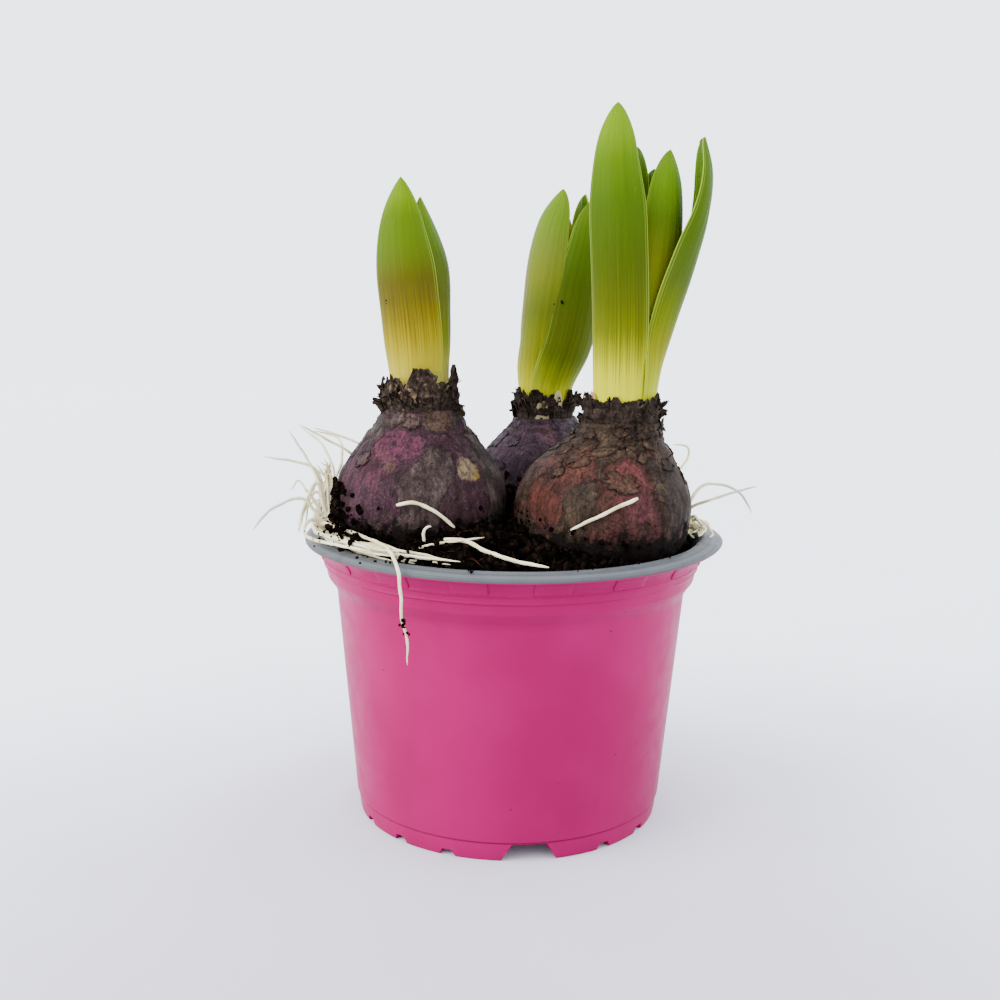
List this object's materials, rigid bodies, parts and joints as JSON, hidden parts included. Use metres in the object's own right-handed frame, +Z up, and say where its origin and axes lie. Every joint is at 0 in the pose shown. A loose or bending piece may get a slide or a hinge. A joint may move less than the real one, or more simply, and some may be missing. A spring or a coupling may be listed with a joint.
{
  "type": "potted hyacinth plant",
  "caption": "Round nursery pot of soil with hyacinth bulbs in young leaf, half sunk in the soil, and loose white roots over the lip.",
  "frame": {"origin": "centre of the pot's foot, on the surface it stands on", "axes": "+Z up along the pot's axis, +X to the right and -Y towards the viewer, in whose view the two front bulbs stand left and right"},
  "size_m": [0.1453, 0.12, 0.2018],
  "materials": {
    "pot": "satin pink moulded plastic, grey inside and on the lip",
    "soil": "damp near-black potting soil with brown fibres",
    "bulb": "dry papery purple-brown bulb tunic with magenta patches",
    "dry_tunic": "brittle, torn, near-black brown",
    "flower_bud": "waxy pale green buds",
    "leaf": "fresh green leaf, yellow at the foot, with fine lengthwise veins and a soft gloss",
    "root": "matt ivory white root"
  },
  "bodies": {
    "root": {"pot": "pot", "soil": "soil", "bulb_right": "bulb", "bulb_left": "bulb", "bulb_back": "bulb", "tunic_crown_right": "dry_tunic", "tunic_crown_left": "dry_tunic", "tunic_crown_back": "dry_tunic", "flower_bud_right": "flower_bud", "flower_bud_left": "flower_bud", "flower_bud_back": "flower_bud", "leaf_right_front": "leaf", "leaf_right_side": "leaf", "leaf_right_inner": "leaf", "leaf_right_back": "leaf", "leaf_right_rear": "leaf", "leaf_left_front": "leaf", "leaf_left_side": "leaf", "leaf_left_back": "leaf", "leaf_left_rear": "leaf", "leaf_back_front": "leaf", "leaf_back_side": "leaf", "leaf_back_inner": "leaf", "leaf_back_rear": "leaf", "roots_left": "root", "roots_right": "root", "roots_soil_front": "root", "roots_bulb_left_front": "root", "roots_bulb_right_front": "root"}
  },
  "joints": []
}
